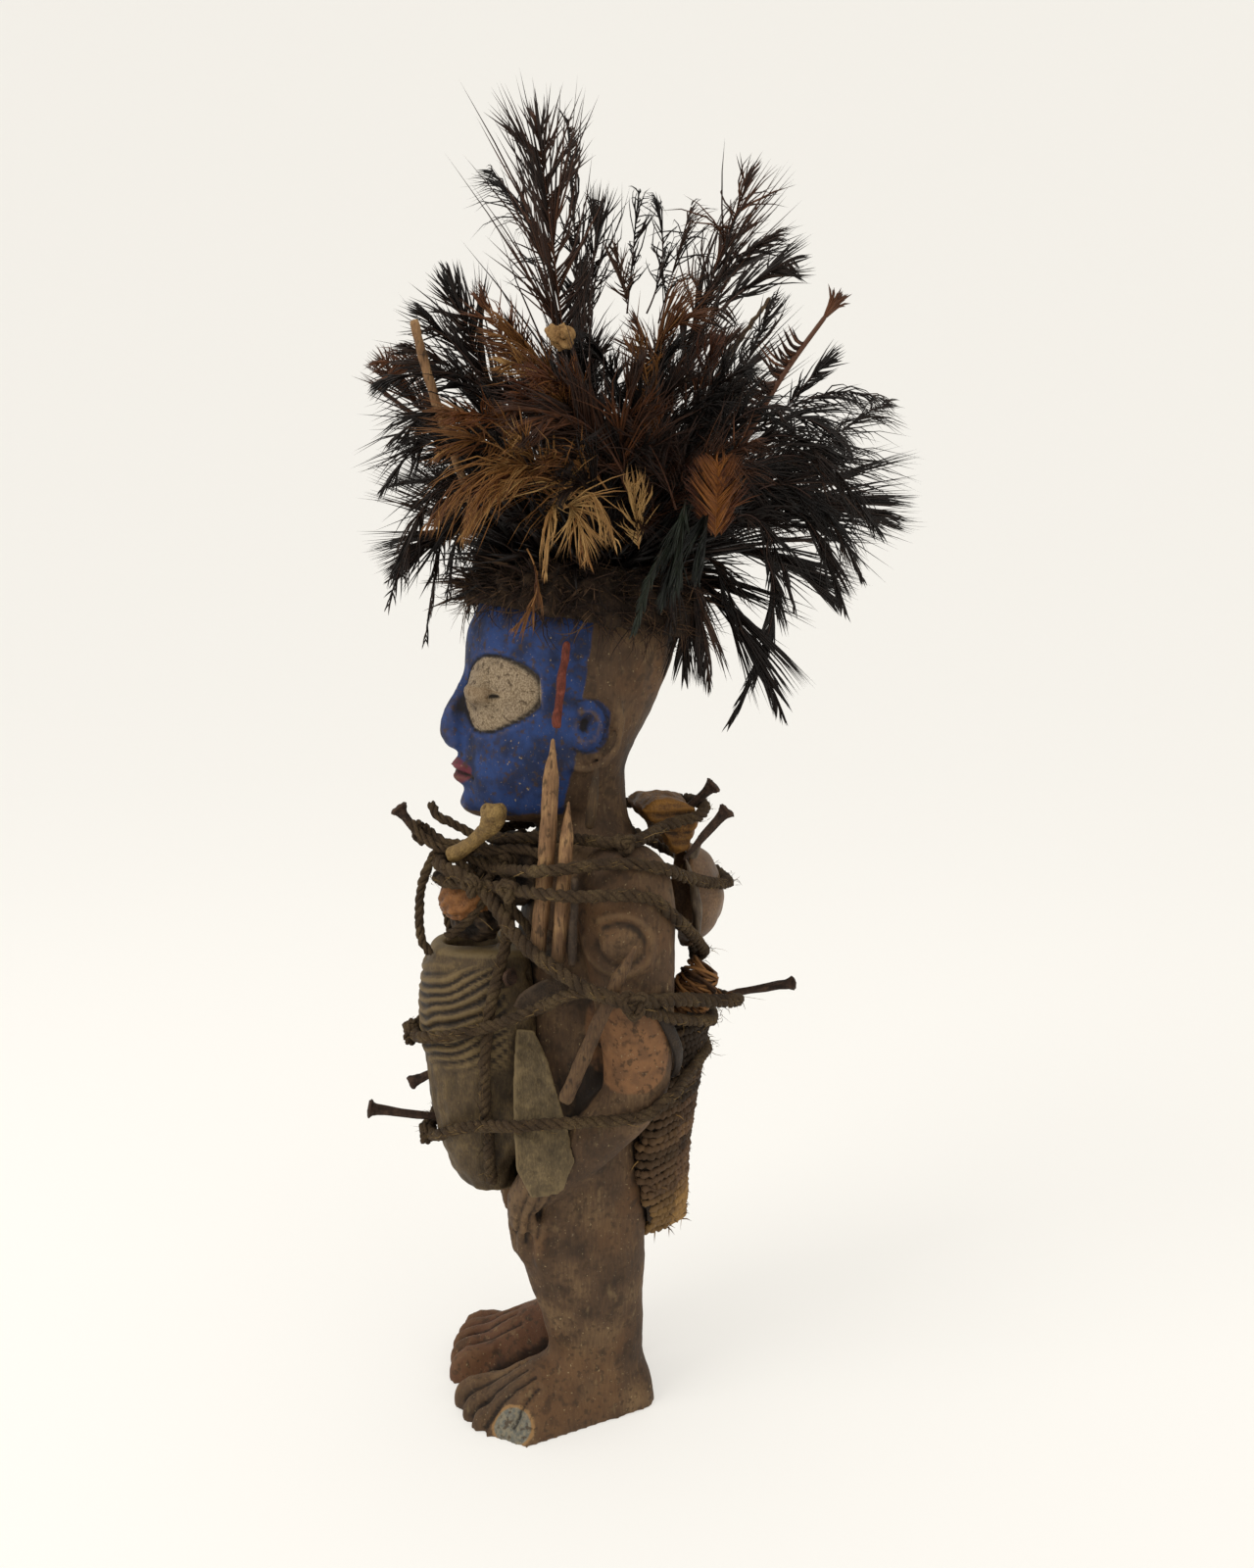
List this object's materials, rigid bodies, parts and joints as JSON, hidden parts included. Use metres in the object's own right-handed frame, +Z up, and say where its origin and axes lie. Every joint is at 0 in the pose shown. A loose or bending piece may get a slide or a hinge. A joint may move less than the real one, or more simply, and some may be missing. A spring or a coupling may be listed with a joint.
{
  "type": "power figure",
  "caption": "Standing carved wooden figure with a feather headdress, bound with cords, hide bundles, sticks and nails.",
  "frame": {"origin": "on the ground under the middle of the whole object's box", "axes": "+Z up, the figure faces -Y, its left side is at +X"},
  "size_m": [0.213, 0.28, 0.6681],
  "materials": {
    "carved_wood": "smoke-dark oiled wood with blue, cream and red paint on the face",
    "feather_black": "black-brown cock feather",
    "feather_brown": "brown and rust hen feather",
    "feather_tan": "tan and amber feather",
    "matted_fibre": "matted down and fibre",
    "hide": "stiff raw hide, dusty",
    "dark_hide": "dark smoked hide",
    "tan_hide": "tan folded hide",
    "twisted_cord": "hand-twisted plant fibre, frayed",
    "whittled_stick": "whittled bare wood",
    "red_bark": "red bark",
    "rusted_iron": "brown rust",
    "bone": "old dry bone",
    "nut": "ridged nut shell",
    "gourd": "dry gourd shell",
    "horn": "grey horn splinter",
    "root": "fine wound root",
    "raffia": "knotted raffia"
  },
  "bodies": {
    "root": {"carved_figure": "carved_wood", "feather_cap": "matted_fibre", "plume_top_broad": "feather_brown", "plume_top_narrow": "feather_black", "plume_back_high": "feather_brown", "plume_back_upper": "feather_black", "plume_back_far": "feather_black", "plume_back_droop": "feather_black", "plume_back_low": "feather_black", "plume_back_curved": "feather_black", "plume_front_high": "feather_black", "plume_front_brown": "feather_brown", "plume_front_low": "feather_black", "plume_left_tan": "feather_tan", "plume_left_brown": "feather_brown", "plume_left_rust": "feather_brown", "plume_right_front": "feather_black", "plume_right_side": "feather_black", "plume_right_back": "feather_black", "cap_quill": "whittled_stick", "split_quill": "feather_brown", "cap_twig": "whittled_stick", "front_packet": "hide", "packet_plug": "root", "hide_flap": "hide", "hide_leaf": "dark_hide", "dark_scrap": "dark_hide", "hide_lump": "dark_hide", "seed_pod": "nut", "bone": "bone", "stick_tall": "whittled_stick", "stick_short": "whittled_stick", "stick_dark": "dark_hide", "stick_leaf": "whittled_stick", "stick_cross": "whittled_stick", "red_twig": "red_bark", "back_hide": "tan_hide", "gourd_shell": "gourd", "horn_shred_1": "horn", "horn_shred_2": "horn", "root_coil": "root", "raffia_mat": "raffia", "arm_strap": "dark_hide", "nail_1": "rusted_iron", "nail_2": "rusted_iron", "nail_3": "rusted_iron", "nail_4": "rusted_iron", "nail_5": "rusted_iron", "nail_6": "rusted_iron", "nail_7": "rusted_iron", "cord_neck": "twisted_cord", "cord_shoulder": "twisted_cord", "cord_chest": "twisted_cord", "cord_diagonal": "twisted_cord", "cord_middle": "twisted_cord", "cord_low": "twisted_cord", "cord_vertical": "twisted_cord"}
  },
  "joints": []
}
